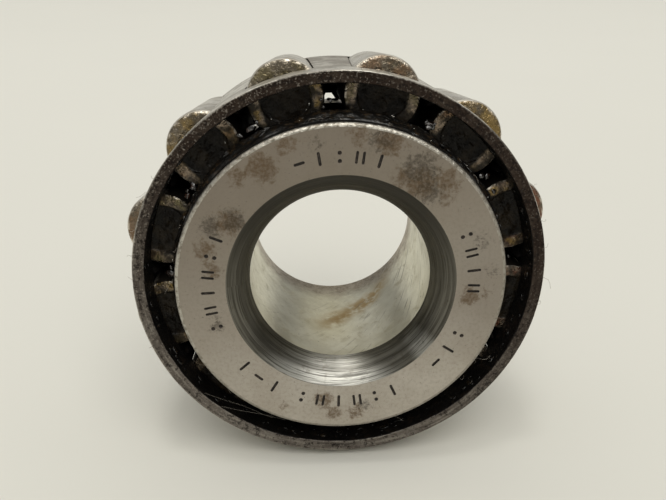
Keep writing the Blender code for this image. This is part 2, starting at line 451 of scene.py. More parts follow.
def turned_entry():
    """The bore's lead-in: dark turned steel with fine tool marks all the way round."""
    f = Finish("turned_entry")
    set_inputs(f.shader, {"Anisotropic": 0.9, "Anisotropic Rotation": 0.25})
    tangent = f.node("ShaderNodeTangent", direction_type="RADIAL", axis="Y")
    f.put(tangent.outputs[0], f.shader.inputs["Tangent"])
    across = f.radius - f.depth
    slow = f.turn * 0.35
    marks = f.noise(4.6, 3, 0.7, at=f.vector(across, slow, 0.0))
    wide = f.noise(1.6, 2, 0.5, at=f.vector(across, slow, 3.0))
    f.colour = f.mix(f.band(wide, 0.35, 0.65), (0.105, 0.099, 0.083), (0.165, 0.157, 0.135))
    # Painted shade darkens the top. Painted highlights brighten the bottom and one patch beside it, where
    # the lamps reflect in it.
    f.paint(f.band(f.z, -3.0, 9.0, 0.0, 0.8), (0.034, 0.031, 0.026))
    worn = f.band(f.z + f.x * 0.14, -8.6, -11.2)
    patch = f.band(abs(f.turn + 0.71), 0.17, 0.03, 0.0, 0.75)
    worn = f.larger(worn, patch * f.band(f.radius, 9.6, 10.6))
    f.paint(worn, (0.49, 0.485, 0.45))
    # Painted shade: a darker ring round the middle of the lead-in.
    painted_shade_band = f.band(abs(f.radius - 10.45), 0.42, 0.1, 0.0, 0.6)
    f.paint(painted_shade_band, (0.085, 0.080, 0.068))
    f.paint(f.band(marks, 0.49, 0.60, 0.0, 0.72), (0.052, 0.048, 0.040))
    dirt = f.noise(0.9, 5, 0.65, at=f.shifted((7.0, 2.0, 3.0)))
    f.paint(f.band(dirt, 0.55, 0.75, 0.0, 0.5), (0.075, 0.060, 0.042))
    roughness = f.band(marks, 0.3, 0.7, 0.30, 0.42)
    return f.done(roughness, f.bump(marks, 0.03))


def ground_bore():
    """The bore's wall: bright ground steel with a rust streak, scratches and dark specks."""
    f = Finish("ground_bore")
    tone = f.noise(0.35, 4, 0.6)
    f.colour = f.mix(f.band(tone, 0.35, 0.65), (0.60, 0.575, 0.465), (0.71, 0.69, 0.575))
    along = f.turn * BORE_RADIUS
    # The streak crosses the lower wall, deeper towards the right.
    from_bottom = along + math.pi / 2 * BORE_RADIUS
    slant = f.depth - (from_bottom * 0.75 + 11.5)
    wander = (f.noise(0.4, 3, 0.6) - 0.5) * 3.6
    slant = abs(slant + wander)
    streak = f.band(slant, 2.8, 0.0)
    reach = f.band(abs(from_bottom - 2.6), 6.4, 2.2)
    streak = streak * reach * f.band(f.noise(0.9, 4, 0.6), 0.25, 0.55)
    far = f.band(f.depth + f.noise(0.8, 4, 0.6) * 4.0, 18.4, 22.0)
    clouds = f.band(f.noise(0.55, 5, 0.68, 0.8, at=f.shifted((2.0, 9.0, 4.0))), 0.50, 0.72)
    f.paint(clouds * 0.45, (0.50, 0.455, 0.335))
    yellow = f.band(abs(from_bottom + 1.2), 5.0, 0.5)
    yellow = yellow * f.band(f.depth, 3.0, 9.0)
    f.paint(yellow * 0.45, (0.70, 0.64, 0.42))
    crust = f.band(f.noise(1.7, 5, 0.7, 0.6), 0.42, 0.62)
    crust = f.mix(crust, (0.36, 0.295, 0.23), (0.17, 0.125, 0.085))
    f.paint(far * 0.8, crust)
    f.paint(streak * 0.85, (0.38, 0.25, 0.095))
    skew = f.vector(along - f.depth * 0.75, f.depth * 0.12, 0.0)
    right = f.band(f.x, -2.0, 6.5, 0.25, 1.0)
    scratch = f.band(f.noise(1.9, 3, 0.6, at=skew), 0.58, 0.68) * right
    f.paint(scratch * 0.55, (0.17, 0.145, 0.11))
    specks = f.band(f.noise(3.6, 3, 0.55, at=f.shifted((11.0, 1.0, 6.0))), 0.69, 0.74)
    f.paint(specks * 0.75, (0.07, 0.06, 0.05))
    roughness = 0.33 + f.larger(streak, clouds) * 0.2
    normal = f.bump(f.noise(2.0, 4, 0.6, at=skew), 0.01)
    normal = f.bump(tone, 0.12, under=normal)
    return f.done(roughness, normal)


def greasy_steel_and_shade():
    """Steel inside the bearing, under a film of old black grease, painted nearly black also as painted shade
    for the shade deep inside the bearing.
    """
    f = Finish("greasy_steel_and_shade", metallic=0.0, specular=0.22)
    film = f.noise(0.7, 5, 0.65, 0.5)
    f.colour = f.mix(f.band(film, 0.50, 0.74), (0.0040, 0.0034, 0.003), (0.018, 0.0125, 0.008))
    shine = f.noise(2.2, 4, 0.6)
    normal = f.bump(film, 0.3)
    normal = f.bump(shine, 0.1, under=normal)
    return f.done(f.band(shine, 0.3, 0.7, 0.35, 0.65), normal)


def black_grease():
    """Old grease in lumps: nearly black and wet, with a brown tint where it is thin."""
    f = Finish("black_grease", metallic=0.0, specular=0.6)
    tint = f.noise(1.4, 4, 0.6)
    f.colour = f.mix(f.band(tint, 0.5, 0.75), (0.006, 0.0055, 0.005), (0.040, 0.025, 0.012))
    return f.done(f.band(tint, 0.3, 0.7, 0.06, 0.16), f.bump(f.noise(3.0, 4, 0.6), 0.12))


def bare_steel():
    """Bits of clean wet steel that catch the light in the grease."""
    f = Finish("bare_steel", coat=0.5, coat_roughness=0.03)
    tone = f.noise(4.0, 3, 0.6)
    f.colour = f.mix(tone, (0.95, 0.93, 0.88), (0.70, 0.67, 0.60))
    return f.done(f.band(tone, 0.3, 0.7, 0.06, 0.2), f.bump(f.noise(9.0, 3, 0.6), 0.05))


def wet_grease():
    """Fresh wet clumps between the rollers, smooth enough for small sharp highlights."""
    f = Finish("wet_grease", metallic=0.0, coat=0.8, coat_roughness=0.04, specular=0.9)
    tint = f.noise(1.1, 3, 0.6)
    f.colour = f.mix(f.band(tint, 0.48, 0.70), (0.010, 0.008, 0.007), (0.050, 0.022, 0.014))
    return f.done(f.band(tint, 0.3, 0.7, 0.08, 0.2), f.bump(f.noise(2.2, 2, 0.5, 0.8), 0.14))


def mark_grime():
    """Dark grime in the punched marks."""
    f = Finish("mark_grime", metallic=0.3)
    tone = f.noise(3.0, 4, 0.6)
    f.colour = f.mix(f.band(tone, 0.45, 0.7), (0.022, 0.018, 0.015), (0.07, 0.055, 0.045))
    return f.done(0.6, f.bump(tone, 0.05))


def dull_grease():
    """Thick grease far inside, black and nearly matt."""
    f = Finish("dull_grease", metallic=0.0, specular=0.08)
    tint = f.noise(1.4, 4, 0.6)
    f.colour = f.mix(f.band(tint, 0.5, 0.75), (0.0045, 0.004, 0.0035), (0.016, 0.011, 0.007))
    return f.done(0.7, f.bump(f.noise(3.0, 4, 0.6), 0.12))


def sheet_side():
    """The cage's rolled surface: grey pressed steel with fine scuffs and a thin oily film."""
    f = Finish("sheet_side", metallic=0.7, coat=0.2, coat_roughness=0.25)
    tone = f.noise(0.5, 5, 0.65)
    f.colour = f.mix(f.band(tone, 0.38, 0.66), (0.78, 0.75, 0.675), (0.47, 0.44, 0.38))
    film = f.band(f.noise(0.17, 5, 0.62, 0.4, at=f.shifted((8.0, 3.0, 6.0))), 0.40, 0.60)
    film = film * f.band(f.depth, 3.0, 10.0, 0.2, 0.8)
    end = f.band(f.depth + tone * 3.0, 19.5, 22.5, 0.0, 0.65)
    film = f.larger(film, end)
    f.paint(film, (0.215, 0.180, 0.135))
    blot = f.band(f.noise(1.6, 6, 0.75, 0.6, at=f.shifted((5.0, 1.0, 2.0))), 0.50, 0.68)
    f.paint(blot * 0.6, (0.13, 0.105, 0.078))
    specks = f.band(f.noise(5.0, 2, 0.5, at=f.shifted((1.0, 8.0, 3.0))), 0.66, 0.73)
    f.paint(specks * 0.7, (0.06, 0.05, 0.04))
    scuff = f.noise(2.0, 4, 0.6, at=f.vector(f.turn * 6.0, f.depth * 3.0, 0.0))
    normal = f.bump(tone, 0.08)
    normal = f.bump(scuff, 0.012, under=normal)
    return f.done(f.band(scuff, 0.3, 0.7, 0.32, 0.52), normal)


def sheet_edge():
    """The cage's cut edge: dark brown sheared steel with drawn lines and bright grains."""
    f = Finish("sheet_edge", coat=0.05, coat_roughness=0.3)
    lines = f.noise(2.6, 3, 0.6, at=f.vector(f.radius, f.turn * 1.3, 0.0))
    tone = f.noise(0.45, 4, 0.6)
    dark = f.mix(f.band(tone, 0.35, 0.65), (0.027, 0.018, 0.014), (0.050, 0.037, 0.029))
    light = f.mix(f.band(tone, 0.35, 0.65), (0.130, 0.112, 0.098), (0.190, 0.170, 0.151))
    # Painted light and shade: the lower left is painted lighter than the upper right.
    painted_lighting = f.x * -0.32 + f.z * -0.9
    painted_lighting = f.band(painted_lighting, -9.0, 20.0)
    f.colour = f.mix(painted_lighting, dark, light)
    f.paint(f.band(lines, 0.50, 0.66, 0.0, 0.6) * painted_lighting, (0.33, 0.305, 0.265))
    f.paint(f.band(lines, 0.46, 0.34, 0.0, 0.6), (0.020, 0.015, 0.013))
    grain = f.noise(4.8, 2, 0.6)
    flecks = f.band(grain, 0.55, 0.70, 0.0, 0.75) * f.band(f.x, 14.0, -8.0, 0.35, 1.0)
    f.paint(flecks, (0.27, 0.24, 0.21))
    pits = f.band(f.noise(2.6, 4, 0.7, at=f.shifted((4.0, 4.0, 1.0))), 0.50, 0.62)
    f.paint(pits * 0.8, (0.014, 0.011, 0.010))
    # Painted highlight: the outer corner is painted as a thin bright line, more on the left.
    worn = f.band(f.radius + grain * 0.25, 21.68, 21.82)
    worn = worn * f.band(f.z - f.x, -18.0, 12.0, 0.1, 0.6)
    worn = worn * f.band(tone, 0.35, 0.6, 0.3, 1.0)
    f.paint(worn, (0.50, 0.47, 0.42))
    normal = f.bump(lines, 0.05)
    normal = f.bump(grain, 0.09, under=normal)
    return f.done(f.band(grain, 0.4, 0.65, 0.55, 0.35), normal)


AMBER = (0.27, 0.185, 0.065)
OLIVE = (0.165, 0.140, 0.075)
RUSSET = (0.20, 0.080, 0.045)
PLAIN = (0.20, 0.180, 0.150)
BROWN = (0.20, 0.125, 0.075)
# Roller 01 onwards: the tint of each end, which no two neighbours share.
END_TINTS = [RUSSET, AMBER, BROWN, OLIVE, AMBER, BROWN, OLIVE, AMBER, PLAIN, RUSSET, OLIVE, PLAIN]


def roller_end(index):
    """A roller's ground end: tan steel where it was wiped, and black over the rest, painted as grease and as
    the shade under the cage's rim.

    In a roller's own coordinates +X points away from the bearing's axis at rest."""
    name = f"roller_end_{index + 1:02d}"
    f = Finish(name, coat=0.08, coat_roughness=0.1, specular=0.12)
    here = f.shifted((13.0 * index, 7.0, 3.0))
    tone = f.noise(0.5, 4, 0.6, at=here)
    f.colour = f.mix(f.band(tone, 0.38, 0.62), (0.235, 0.205, 0.165), (0.125, 0.105, 0.078))
    warm = f.band(f.noise(0.42, 3, 0.6, at=f.shifted((5.0, 11.0 * index, 1.0))), 0.42, 0.60)
    f.paint(warm * 0.75, END_TINTS[index])
    mottle = f.noise(1.9, 4, 0.62, 0.6, at=here)
    f.paint(f.band(mottle, 0.54, 0.70, 0.0, 0.5), (0.060, 0.048, 0.032))
    ragged = (mottle - 0.5) * 1.8
    # Two patches of the annulus, either side of the roller's middle, are wiped to bright steel.
    sides = f.band(abs(f.z) + ragged * 0.3, 2.45, 2.80)
    middle = abs(f.x + ragged + 0.35)
    wiped = sides * f.band(middle, 1.9, 1.0)
    patchy = f.band(f.noise(0.75, 2, 0.5, at=f.shifted((2.0, 5.0 * index, 8.0))), 0.36, 0.56, 0.15, 1.0)
    wiped = wiped * patchy
    bright = f.mix(f.band(tone, 0.42, 0.58), (0.30, 0.235, 0.175), END_TINTS[(index + 1) % ROLLER_COUNT])
    f.paint(wiped * 0.85, bright)
    # Painted highlight: the outer corner of the end is painted pale in patches.
    corner = f.band(f.radius, ROLLER_LARGE_RADIUS - 0.42, ROLLER_LARGE_RADIUS - 0.2)
    corner = corner * f.band(f.noise(1.3, 3, 0.6, at=here), 0.56, 0.40)
    f.paint(corner, (0.62, 0.56, 0.47))
    # Painted shade and grease: all but the wiped patches and the part outside the cage's rim is painted
    # nearly black.
    outer = f.band(f.x + ragged, 1.2, 2.0)
    grease = 1.0 - f.larger(wiped, outer)
    thick = f.mix(f.band(tone, 0.40, 0.62), (0.0060, 0.0046, 0.0032), (0.020, 0.0145, 0.0085))
    f.paint(grease, thick)
    f.put(1.0 - grease, f.shader.inputs["Metallic"])
    normal = f.bump(f.noise(1.1, 3, 0.6, 0.8, at=here), 0.2)
    normal = f.bump(f.noise(1.9, 2, 0.5, 1.6, at=here), 0.12, under=normal)
    return f.done(f.band(mottle, 0.4, 0.7, 0.26, 0.42), normal)


def roller_side():
    """A roller's rolling surface: hardened steel, oily outside, and painted black inside, as grease and as
    painted shade for the shade inside the bearing.
    """
    f = Finish("roller_side", coat=0.2, coat_roughness=0.15, specular=0.1)
    bands = f.noise(1.1, 3, 0.6, at=f.vector(f.depth * 2.2, 0.0, 0.0))
    tone = f.noise(0.5, 5, 0.66)
    f.colour = f.mix(f.band(tone, 0.40, 0.66), (0.64, 0.61, 0.54), (0.42, 0.38, 0.32))
    f.paint(f.band(bands, 0.45, 0.68, 0.0, 0.4), (0.27, 0.235, 0.19))
    smear = f.band(f.noise(0.9, 5, 0.7, 0.7, at=f.shifted((9.0, 3.0, 1.0))), 0.56, 0.74)
    f.paint(smear * 0.55, (0.14, 0.095, 0.05))
    ragged = (tone - 0.5) * 2.4
    # Painted shade and grease: the inward side is painted nearly black.
    grease = f.band(f.x + ragged, 1.4, 0.5)
    f.paint(grease, (0.010, 0.008, 0.006))
    f.put(f.band(grease, 0.0, 1.0, 0.7, 0.0), f.shader.inputs["Metallic"])
    f.put(f.band(grease, 0.0, 1.0, 0.2, 0.0), f.shader.inputs["Coat Weight"])
    roughness = f.band(tone, 0.3, 0.7, 0.26, 0.44) + grease * 0.3
    return f.done(roughness, f.bump(bands, 0.02))


# The inner ring.


def raceway_radius(depth):
    return (APEX_DEPTH - depth) * math.tan(RACEWAY_ANGLE) - RACEWAY_CLEARANCE / math.cos(RACEWAY_ANGLE)


def large_end_depth(radius):
    return LARGE_END_DEPTH + (radius - LARGE_END_PITCH_RADIUS) * math.tan(ROLLER_TILT)


def bore_entry_section(steps=96, groove=0.016):
    """The convex lead-in from the back face to the bore, with tool marks as real grooves."""
    radial = BORE_ENTRY_RADIUS - BORE_RADIUS
    chord = math.hypot(radial, BORE_ENTRY_DEPTH)
    arc_radius = chord / 2 / math.sin(BORE_ENTRY_BEND / 2)
    outward = math.atan2(BORE_ENTRY_DEPTH, -radial) - 1.5 * math.pi
    to_centre = arc_radius * math.cos(BORE_ENTRY_BEND / 2)
    centre_radius = (BORE_ENTRY_RADIUS + BORE_RADIUS) / 2 - to_centre * math.cos(outward)
    centre_depth = BORE_ENTRY_DEPTH / 2 - to_centre * math.sin(outward)
    points = []
    for i in range(steps + 1):
        share = i / steps
        angle = outward + BORE_ENTRY_BEND * (0.5 - share)
        coarse = noise.noise(Vector((share * 17.0, 0.3, 0.0)))
        wave = coarse + 0.6 * noise.noise(Vector((share * 41.0, 2.0, 0.0)))
        fade = min(1.0, 12 * share, 12 * (1 - share))
        reach = arc_radius + min(0.0, groove * wave - groove * 0.4) * fade
        depth = centre_depth + reach * math.sin(angle)
        points.append((centre_radius + reach * math.cos(angle), depth, "entry"))
    return points


def ring_section():
    """The ring's section: its outside, the lead-in, and the bore back to the front face."""
    gap = RIB_CLEARANCE / math.cos(ROLLER_TILT)
    root_radius = raceway_radius(LARGE_END_DEPTH) - 0.25
    root_depth = large_end_depth(root_radius) - gap
    undercut_end = root_depth + 0.7
    corners = [
        (BORE_RADIUS, RING_WIDTH, 0.0, "bore"),
        (SMALL_RIB_RADIUS, RING_WIDTH, 0.4, "edge"),
        (SMALL_RIB_RADIUS, SMALL_RIB_START, 0.12, "inside"),
        (raceway_radius(SMALL_RIB_START), SMALL_RIB_START, 0.12, "inside"),
        (raceway_radius(undercut_end), undercut_end, 0.08, "inside"),
        (root_radius, undercut_end - 0.25, 0.08, "inside"),
        (root_radius, root_depth, 0.1, "inside"),
        (BACK_FACE_RADIUS, large_end_depth(BACK_FACE_RADIUS) - gap, 0.35, "inside"),
        (BACK_FACE_RADIUS, 0.0, 0.4, "edge"),
        (BORE_ENTRY_RADIUS, 0, 0, "face"),
    ]
    outside = rounded_section(corners)[1:-1]
    outside[-1] = (*outside[-1][:2], "face")
    outside.append((BACK_FACE_RADIUS - FACE_CHAMFER, 0.0, "face"))
    bore = [
        (BORE_RADIUS, BORE_ENTRY_DEPTH + 0.01, "bore"),
        (BORE_RADIUS, RING_WIDTH - BORE_EXIT_CHAMFER, "edge"),
        (BORE_RADIUS + BORE_EXIT_CHAMFER, RING_WIDTH, "face"),
    ]
    return outside + bore_entry_section()[:-1] + bore


def mark_cutter(name, material, places):
    """Punched marks as one cutter: plain rounded strokes and dots, which spell nothing."""
    bm = bmesh.new()
    for x, z, length, width, turn in places:
        rim, foot = [], []
        for side in (1, -1):
            for i in range(9):
                angle = math.pi * (i / 8 - 0.5)
                end = side * length / 2
                for ring, depth, share in ((rim, -0.1, 1.25), (foot, MARK_DEPTH, 0.55)):
                    along = end + side * width / 2 * math.cos(angle) * share
                    across = side * width / 2 * math.sin(angle) * share
                    right = along * math.cos(turn) - across * math.sin(turn)
                    up = along * math.sin(turn) + across * math.cos(turn)
                    ring.append(bm.verts.new((x + right, depth, z + up)))
        bm.faces.new(rim)
        bm.faces.new(foot)
        strip(bm, rim, foot)
    cutter = new_object(name, finish_mesh(bm, name))
    cutter.data.materials.append(material)
    return cutter


def mark_places():
    """Ticks, dashes and dots round the back face, in groups with plain gaps between them."""
    groups = [(91, 5), (178, 6), (230, 3), (273, 6), (326, 3), (10, 4)]
    cycle = ["tick", "pair", "dots", "tick", "dash", "tick", "dots", "pair"]
    turns = []
    for middle, number in groups:
        first = middle - (number - 1) / 2 * MARK_PITCH_DEGREES
        turns += [math.radians(first + i * MARK_PITCH_DEGREES) for i in range(number)]
    places = []
    for count, turn in enumerate(turns):
        out = Vector((math.cos(turn), math.sin(turn)))
        side = Vector((-out.y, out.x))
        for along, across, length, width, spin in STROKES[cycle[count % len(cycle)]]:
            spot = out * (MARK_RADIUS + along) + side * across
            places.append((spot.x, spot.y, length, width, turn + spin))
    return places


def make_ring():
    """The inner ring, with punched marks in its back face."""
    grime = mark_grime()
    finishes = ["face", "edge", "entry", "bore", "inside"]
    mesh = turned("inner_ring_fine", ring_section(), RING_SEGMENTS, finishes)
    ring = new_object("inner_ring_fine", mesh)
    for material in (ground_face(), worn_edge_and_highlight(), turned_entry(), ground_bore(), greasy_steel_and_shade(), grime):
        mesh.materials.append(material)
    cutter = mark_cutter("mark_cutter", grime, mark_places())
    cut = ring.modifiers.new("marks", "BOOLEAN")
    cut.operation = "DIFFERENCE"
    cut.solver = "EXACT"
    cut.material_mode = "TRANSFER"
    cut.object = cutter
    apply_modifiers(ring)
    bpy.data.objects.remove(cutter)
    ring.data.set_sharp_from_angle(angle=math.radians(SHARP_DEGREES))
    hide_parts("inner_ring")
    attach(ring, "inner_ring")


def apply_modifiers(obj):
    """Bakes an object's modifiers into its mesh."""
    graph = bpy.context.evaluated_depsgraph_get()
    graph.update()
    mesh = bpy.data.meshes.new_from_object(obj.evaluated_get(graph))
    obj.modifiers.clear()
    obj.data = mesh


# The cage.


def roller_radius(distance):
    """A roller's radius at a distance from its large end."""
    return (APEX_DISTANCE - distance) * math.tan(ROLLER_HALF_ANGLE)


def cone_radius(depth, inner):
    """The cage's radius at a depth, on its outer or inner surface."""
    outer = CAGE_RIM_RADIUS - (depth - CAGE_RIM_DEPTH) * math.tan(CAGE_TAPER)
    return outer - SHEET / math.cos(CAGE_TAPER) * inner


def pocket_half_angle(depth, inner):
    """Half the angle that a pocket takes at a depth, where its wall follows the roller."""
    surface = cone_radius(depth, inner)
    axis = (APEX_DEPTH - depth) * math.tan(ROLLER_TILT)
    along = (depth - LARGE_END_DEPTH) / math.cos(ROLLER_TILT)
    clear = roller_radius(along) + POCKET_SIDE_CLEARANCE
    low, high = 0.0, math.pi / ROLLER_COUNT
    for _ in range(40):
        middle = (low + high) / 2
        across = surface * math.sin(middle)
        out = (surface * math.cos(middle) - axis) * math.cos(ROLLER_TILT)
        if math.hypot(across, out) < clear:
            low = middle
        else:
            high = middle
    return low


def pocket_ends(inner):
    """The depths of a pocket's two ends on one surface of the sheet."""
    near = large_end_depth(cone_radius(LARGE_END_DEPTH, inner)) - POCKET_END_CLEARANCE
    far = near + (ROLLER_LENGTH + 2 * POCKET_END_CLEARANCE) * math.cos(ROLLER_TILT)
    return near, far


def corner_angle(depth, inner, surface, turn):
    """Half of a pocket's angle at a depth within one of its rounded corners."""
    return pocket_half_angle(depth, inner) - POCKET_CORNER * (1 - math.sin(turn)) / surface


def pocket_outline(inner):
    """One half of a pocket's outline, (angle, depth) from its near end's middle to its far end's."""
    near, far = pocket_ends(inner)
    corner = POCKET_CORNER
    surface = cone_radius(near, inner)
    half = pocket_half_angle(near + corner, inner)
    points = [((half - corner / surface) * i / END_STEPS, near) for i in range(END_STEPS)]
    for i in range(CORNER_STEPS):
        turn = math.pi / 2 * i / CORNER_STEPS
        depth = near + corner * (1 - math.cos(turn))
        points.append((corner_angle(depth, inner, surface, turn), depth))
    for i in range(SIDE_STEPS + 1):
        depth = near + corner + (far - near - 2 * corner) * i / SIDE_STEPS
        points.append((pocket_half_angle(depth, inner), depth))
    surface = cone_radius(far, inner)
    for i in range(1, CORNER_STEPS + 1):
        turn = math.pi / 2 * (1 - i / CORNER_STEPS)
        depth = far - corner * (1 - math.cos(turn))
        points.append((corner_angle(depth, inner, surface, turn), depth))
    last = points[-1][0]
    return points + [(last * (1 - i / END_STEPS), far) for i in range(1, END_STEPS + 1)]


class Shell:
    """The cage's two surfaces, as vertices that neighbouring sectors share."""

    def __init__(self):
        self.bm = bmesh.new()
        self.known = {}

    def at(self, inner, angle, radius, depth):
        key = (inner, round(angle * 1e5) % round(FULL_TURN * 1e5), round(radius * 1e4), round(depth * 1e4))
        if key not in self.known:
            self.known[key] = self.bm.verts.new(around_axis(radius, depth, angle))
        return self.known[key]

    def row(self, inner, angles, radius, depth):
        return [self.at(inner, angle, radius, depth) for angle in angles]

    def strips(self, rows, finish):
        """Faces between each row and the next, without those that have shrunk to a line."""
        for upper, lower in zip(rows, rows[1:]):
            for i in range(len(upper) - 1):
                quad = (upper[i], upper[i + 1], lower[i + 1], lower[i])
                corners = [v for k, v in enumerate(quad) if v not in quad[:k]]
                if len(corners) > 2:
                    self.bm.faces.new(corners).material_index = finish


def cage_end_rows(inner):
    """Rows (radius, depth) from the pockets' far border round the bend to the flange's inner edge."""
    bend_depth = CAGE_END_DEPTH - CAGE_BEND_RADIUS
    centre = (cone_radius(bend_depth, 0) - CAGE_BEND_RADIUS / math.cos(CAGE_TAPER), bend_depth)
    radius = CAGE_BEND_RADIUS - SHEET * inner
    rows = arc(centre, radius, CAGE_TAPER, math.pi / 2, 8)
    flange_depth = rows[-1][1]
    start = rows[-1][0]
    for i in range(1, 4):
        rows.append((start + (FLANGE_INNER_RADIUS - start) * i / 3, flange_depth))
    return rows


def border_points(count, top, bottom):
    """The points (angle, depth) on a sector's border that a pocket's outline is joined to."""
    half_sector = math.pi / ROLLER_COUNT
    first_side = END_STEPS + CORNER_STEPS // 2
    last_side = count - 1 - first_side
    points = []
    for i in range(count):
        if i <= first_side:
            points.append((half_sector * i / first_side, top))
        elif i >= last_side:
            points.append((half_sector * (count - 1 - i) / first_side, bottom))
        else:
            share = (i - first_side) / (last_side - first_side)
            points.append((half_sector, top + (bottom - top) * share))
    return points, [angle for angle, _ in points[: first_side + 1]]


def add_sector(shell, middle):
    """One twelfth of the cage round one pocket. Finishes: 0 outside, 1 inside, 2 the cut rim."""
    edges = {}
    for inner in (0, 1):
        outline = pocket_outline(inner)
        near, far = pocket_ends(inner)
        top, bottom = near - 0.7, far + 0.35
        border, columns = border_points(len(outline), top, bottom)
        for mirror in (1, -1):
            grid = []
            for step in range(BORDER_STEPS + 1):
                share = step / BORDER_STEPS
                row = []
                for (a0, d0), (a1, d1) in zip(outline, border):
                    angle, depth = a0 + (a1 - a0) * share, d0 + (d1 - d0) * share
                    row.append(shell.at(inner, middle + mirror * angle, cone_radius(depth, inner), depth))
                grid.append(row)
            shell.strips(grid, inner)
            angles = [middle + mirror * angle for angle in columns]
            rim_depths = [CAGE_RIM_DEPTH + (top - CAGE_RIM_DEPTH) * r / 3 for r in range(4)]
            rim_rows = [shell.row(inner, angles, cone_radius(depth, inner), depth) for depth in rim_depths]
            end_places = [(cone_radius(bottom, inner), bottom)] + cage_end_rows(inner)
            end_rows = [shell.row(inner, angles, *place) for place in end_places]
            shell.strips(rim_rows, inner)
            shell.strips(end_rows, inner)
            edges[inner, mirror] = (grid[0], rim_rows[0], end_rows[-1])
    for mirror in (1, -1):
        for outer, within, finish in zip(edges[0, mirror], edges[1, mirror], (1, 2, 0)):
            shell.strips((outer, within), finish)


def make_cage():
    """The pressed cage, with rounded pockets whose walls follow the rollers."""
    shell = Shell()
    for i in range(ROLLER_COUNT):
        add_sector(shell, FIRST_ROLLER_ANGLE + FULL_TURN * i / ROLLER_COUNT)
    mesh = finish_mesh(shell.bm, "cage_fine")
    cage = new_object("cage_fine", mesh)
    for material in (sheet_side(), greasy_steel_and_shade(), sheet_edge()):
        mesh.materials.append(material)
    bevel = cage.modifiers.new("worn", "BEVEL")
    bevel.width = 0.14 * MM
    bevel.segments = 3
    bevel.limit_method = "ANGLE"
    bevel.angle_limit = math.radians(35)
    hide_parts("cage")
    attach(cage, "cage")


# The rollers.


def roller_section():
    """A roller's section in its own frame: its axis is +Y, and its large end is at 0."""
    corners = [
        (0.0, ROLLER_LENGTH, 0.0, "side"),
        (roller_radius(ROLLER_LENGTH), ROLLER_LENGTH, 0.5, "side"),
        (ROLLER_LARGE_RADIUS, 0.0, ROLLER_CORNER, "side"),
        (RECESS_RADIUS, 0.0, 0.1, "end"),
        (RECESS_RADIUS - RECESS_SLOPE, RECESS_DEPTH, 0.12, "end"),
        (0.0, RECESS_DEPTH, 0.0, "end"),
    ]
    section = []
    for radius, depth, finish in rounded_section(corners):
        on_end = depth < 0.2 and RECESS_RADIUS < radius < ROLLER_LARGE_RADIUS - 0.12
        section.append((radius, depth, "end" if on_end else finish))
    return section


def roller_place(index):
    """The matrix that puts a roller's own frame at its place: +Y to the apex, +X away from the axis."""
    joint = next(j for j in frame["joints"] if j["child"] == ROLLER_NAMES[index])
    axis = Vector(joint["axis"]).normalized()
    centre = Vector(joint["pos_m"])
    side = Vector((centre.x, 0.0, centre.z)).normalized().cross(axis).normalized()
    start = centre - axis * (ROLLER_LENGTH / 2 * MM)
    turn = Matrix((axis.cross(side), axis, side)).transposed()
    return Matrix.Translation(start) @ turn.to_4x4()


def recess_depth(radius):
    """The depth of a roller's end face at a radius, down the recess's slope."""
    share = (RECESS_RADIUS - radius) / RECESS_SLOPE
    return RECESS_DEPTH * max(0.0, min(1.0, share))


def add_glints(bm):
    """A few slivers of clean steel along the recess's edge on the shaft's side."""
    for _ in range(random.randint(2, 5)):
        turn = random.uniform(math.radians(115), math.radians(245))
        reach = RECESS_RADIUS - random.uniform(0.12, 0.5)
        place = Vector((reach * math.cos(turn), 0.1, reach * math.sin(turn)))
        sizes = (random.uniform(0.03, 0.07), 0.05, random.uniform(0.06, 0.2))
        known = set(bm.faces)
        lump(bm, place, Matrix.Rotation(-turn, 4, "Y"), sizes, random.uniform(0, 9))
        for face in set(bm.faces) - known:
            face.material_index = 1


def recess_grease(index, materials):
    """A lumpy pad in a roller's recess: nearly flush away from the shaft, thin towards it."""
    random.seed(SEED + 31 * index)
    shift = random.uniform(0, 50)
    bm = bmesh.new()
    rings, around = 22, 72
    rows = []
    for r in range(1, rings + 1):
        row = []
        distance = RECESS_RADIUS * 0.995 * r / rings
        for i in range(around):
            turn = FULL_TURN * i / around
            x, z = distance * math.cos(turn), distance * math.sin(turn)
            bumps = noise.fractal(Vector((x * 0.9 + shift, z * 0.9, 0.0)), 0.8, 2.0, 4)
            full = max(0.0, min(1.0, (x + 0.5 * bumps - 0.2) / 1.1))
            full = full * full * (3 - 2 * full)
            top = 0.22 + 0.14 * bumps
            top += (0.035 + 0.03 * bumps - top) * full
            depth = max(0.012, min(top, recess_depth(distance) - 0.006))
            row.append(bm.verts.new((x, depth, z)))
        rows.append(row)
    middle = bm.verts.new((0, sum(v.co.y for v in rows[0]) / around, 0))
    for i in range(around):
        bm.faces.new((middle, rows[0][i], rows[0][(i + 1) % around]))
    rows.append([bm.verts.new((v.co.x * 0.86, RECESS_DEPTH + 0.02, v.co.z * 0.86)) for v in rows[-1]])
    for a, b in zip(rows, rows[1:]):
        strip(bm, a, b)
    bm.faces.new(rows[-1])
    add_glints(bm)
    name = f"grease_roller_{index + 1:02d}"
    pad = add_piece(name, bm, materials, ROLLER_NAMES[index])
    pad.matrix_world = roller_place(index)


def make_rollers(glint):
    """Twelve rollers that share their shape, each with its own stained ends and grease."""
    side = roller_side()
    section = roller_section()
    for index in range(ROLLER_COUNT):
        name = f"{ROLLER_NAMES[index]}_fine"
        end = roller_end(index)
        roller = new_object(name, turned(name, section, ROLLER_SEGMENTS, ["side", "end"], closed=False))
        for material in (side, end):
            roller.data.materials.append(material)
        roller.matrix_world = roller_place(index)
        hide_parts(ROLLER_NAMES[index])
        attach(roller, ROLLER_NAMES[index])
        recess_grease(index, (end, glint))


# Grease lumps and lint.


